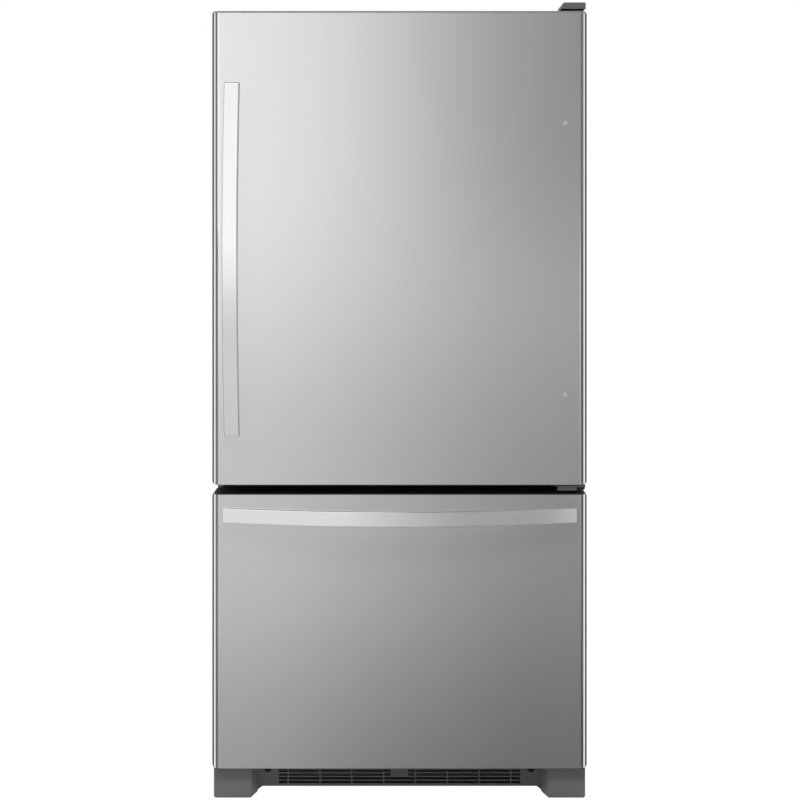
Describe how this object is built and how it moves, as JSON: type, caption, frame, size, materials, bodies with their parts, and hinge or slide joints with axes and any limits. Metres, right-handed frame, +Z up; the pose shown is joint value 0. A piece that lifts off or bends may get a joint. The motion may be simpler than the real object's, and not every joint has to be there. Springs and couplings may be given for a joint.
{
  "type": "bottom freezer refrigerator",
  "caption": "Free-standing household refrigerator in stainless steel: a hinged fresh-food door above a pull-out freezer drawer, with bowed bar handles, rollers and a slotted base grille.",
  "frame": {"origin": "on the floor, under the middle of the bounding box, handles included", "axes": "+Z up; the door and drawer face -Y; +X is the hinge side, on the right seen from the front"},
  "size_m": [0.835, 0.85, 1.781],
  "materials": {
    "stainless": "vertical brushed grain, clear coated",
    "handle_steel": "fine brushed, rounded edges",
    "cabinet_paint": "lightly textured grey paint",
    "zinc_steel": "zinc plated",
    "insulation": null,
    "white_liner": "smooth white moulded",
    "cap_plastic": "satin grey moulded",
    "trim_plastic": "satin dark grey moulded",
    "grille_plastic": "satin charcoal moulded",
    "gasket_rubber": "soft matt seal",
    "clear_plastic": "clear moulded",
    "shelf_glass": "toughened",
    "shelf_trim": "satin pale moulded",
    "black_paint": "gloss black",
    "coil_aluminium": "bare finned",
    "fan_plastic": "moulded",
    "knob_plastic": "satin moulded",
    "lens_plastic": "translucent ribbed",
    "roller_plastic": "hard moulded",
    "plug_plastic": "polished"
  },
  "bodies": {
    "cabinet": {"cabinet_wrapper": "cabinet_paint", "cabinet_foam": "insulation", "back_panel": "zinc_steel", "base_pan": "zinc_steel", "fresh_food_liner": "white_liner", "freezer_liner": "white_liner", "mullion_rail": "grille_plastic", "machine_cover": "zinc_steel", "cord_inlet": "trim_plastic", "compressor": "black_paint", "drain_pan": "fan_plastic", "condenser": "coil_aluminium", "condenser_fan_shroud": "zinc_steel", "evaporator": "coil_aluminium", "evaporator_cover": "white_liner", "air_tower": "white_liner", "control_housing": "white_liner", "light_lens": "lens_plastic", "shelf_frames": "shelf_trim", "shelf_glass": "shelf_glass", "slide_outer_rails": "zinc_steel", "top_hinge": "zinc_steel", "centre_hinge": "zinc_steel", "hinge_screws": "zinc_steel", "top_hinge_cover": "trim_plastic", "base_grille": "grille_plastic", "foot_covers": "trim_plastic", "roller_brackets": "zinc_steel"},
    "door": {"door_skin": "stainless", "door_end_caps": "cap_plastic", "door_foam": "insulation", "door_liner": "white_liner", "door_gasket": "gasket_rubber", "door_plugs": "plug_plastic", "door_bins": "clear_plastic", "door_handle": "handle_steel"},
    "freezer_drawer": {"drawer_skin": "stainless", "drawer_end_caps": "cap_plastic", "drawer_foam": "insulation", "drawer_liner": "white_liner", "drawer_gasket": "gasket_rubber", "drawer_handle": "handle_steel", "drawer_brackets": "zinc_steel", "lower_basket": "white_liner"},
    "slide_members": {"slide_middle_members": "zinc_steel"},
    "upper_freezer_basket": {"upper_basket": "white_liner"},
    "left_crisper": {"crisper_left": "clear_plastic"},
    "right_crisper": {"crisper_right": "clear_plastic"},
    "pantry": {"pantry_drawer": "clear_plastic"},
    "light_plunger": {"light_switch": "white_liner"},
    "left_slider": {"humidity_slider_left": "knob_plastic"},
    "right_slider": {"humidity_slider_right": "knob_plastic"},
    "fridge_control": {"fridge_knob": "knob_plastic"},
    "freezer_control": {"freezer_knob": "knob_plastic"},
    "left_leg": {"levelling_leg_left": "zinc_steel"},
    "right_leg": {"levelling_leg_right": "zinc_steel"},
    "front_roller_pair": {"front_rollers": "roller_plastic"},
    "rear_roller_pair": {"rear_rollers": "roller_plastic"},
    "condenser_blower": {"condenser_fan": "fan_plastic"},
    "evaporator_blower": {"evaporator_fan": "fan_plastic"}
  },
  "joints": [
    {"name": "door_hinge", "type": "hinge", "parent": "cabinet", "child": "door", "pos_m": [0.4035, -0.341, 1.23], "axis": [0, 0, 1], "range_deg": [0, 130]},
    {"name": "drawer_slide", "type": "slide", "parent": "cabinet", "child": "freezer_drawer", "axis": [0, -1, 0], "range_m": [0, 0.43]},
    {"name": "slide_members_run", "type": "slide", "parent": "cabinet", "child": "slide_members", "axis": [0, -1, 0], "range_m": [0, 0.216]},
    {"name": "upper_basket_slide", "type": "slide", "parent": "cabinet", "child": "upper_freezer_basket", "axis": [0, -1, 0], "range_m": [0, 0.345]},
    {"name": "left_crisper_slide", "type": "slide", "parent": "cabinet", "child": "left_crisper", "axis": [0, -1, 0], "range_m": [0, 0.182]},
    {"name": "right_crisper_slide", "type": "slide", "parent": "cabinet", "child": "right_crisper", "axis": [0, -1, 0], "range_m": [0, 0.182]},
    {"name": "pantry_slide", "type": "slide", "parent": "cabinet", "child": "pantry", "axis": [0, -1, 0], "range_m": [0, 0.182]},
    {"name": "light_plunger_travel", "type": "slide", "parent": "cabinet", "child": "light_plunger", "axis": [0, -1, 0], "range_m": [0, 0.0061]},
    {"name": "left_slider_travel", "type": "slide", "parent": "cabinet", "child": "left_slider", "axis": [-1, 0, 0], "range_m": [0, 0.04]},
    {"name": "right_slider_travel", "type": "slide", "parent": "cabinet", "child": "right_slider", "axis": [1, 0, 0], "range_m": [0, 0.04]},
    {"name": "fridge_knob_turn", "type": "hinge", "parent": "cabinet", "child": "fridge_control", "pos_m": [-0.08, -0.146, 1.6695], "axis": [0, -1, 0], "range_deg": [0, 270]},
    {"name": "freezer_knob_turn", "type": "hinge", "parent": "cabinet", "child": "freezer_control", "pos_m": [0.08, -0.146, 1.6695], "axis": [0, -1, 0], "range_deg": [0, 270]},
    {"name": "left_leg_travel", "type": "slide", "parent": "cabinet", "child": "left_leg", "axis": [0, 0, 1], "range_m": [0, 0.012]},
    {"name": "right_leg_travel", "type": "slide", "parent": "cabinet", "child": "right_leg", "axis": [0, 0, 1], "range_m": [0, 0.012]},
    {"name": "front_roller_spin", "type": "hinge", "parent": "cabinet", "child": "front_roller_pair", "pos_m": [0, -0.215, 0.0165], "axis": [1, 0, 0], "continuous": true},
    {"name": "rear_roller_spin", "type": "hinge", "parent": "cabinet", "child": "rear_roller_pair", "pos_m": [0, 0.385, 0.015], "axis": [1, 0, 0], "continuous": true},
    {"name": "condenser_fan_spin", "type": "hinge", "parent": "cabinet", "child": "condenser_blower", "pos_m": [0.006, 0.3075, 0.135], "axis": [1, 0, 0], "continuous": true},
    {"name": "evaporator_fan_spin", "type": "hinge", "parent": "cabinet", "child": "evaporator_blower", "pos_m": [0, 0.314, 0.596], "axis": [0, -1, 0], "continuous": true}
  ],
  "couplings": [
    {"joint": "slide_members_run", "follows": "drawer_slide", "ratio": 0.5},
    {"joint": "upper_basket_slide", "follows": "drawer_slide", "ratio": 0.8},
    {"joint": "left_crisper_slide", "follows": "door_hinge", "m_per_rad": 0.08},
    {"joint": "right_crisper_slide", "follows": "door_hinge", "m_per_rad": 0.08},
    {"joint": "pantry_slide", "follows": "door_hinge", "m_per_rad": 0.08},
    {"joint": "light_plunger_travel", "follows": "door_hinge", "m_per_rad": 0.00264}
  ]
}
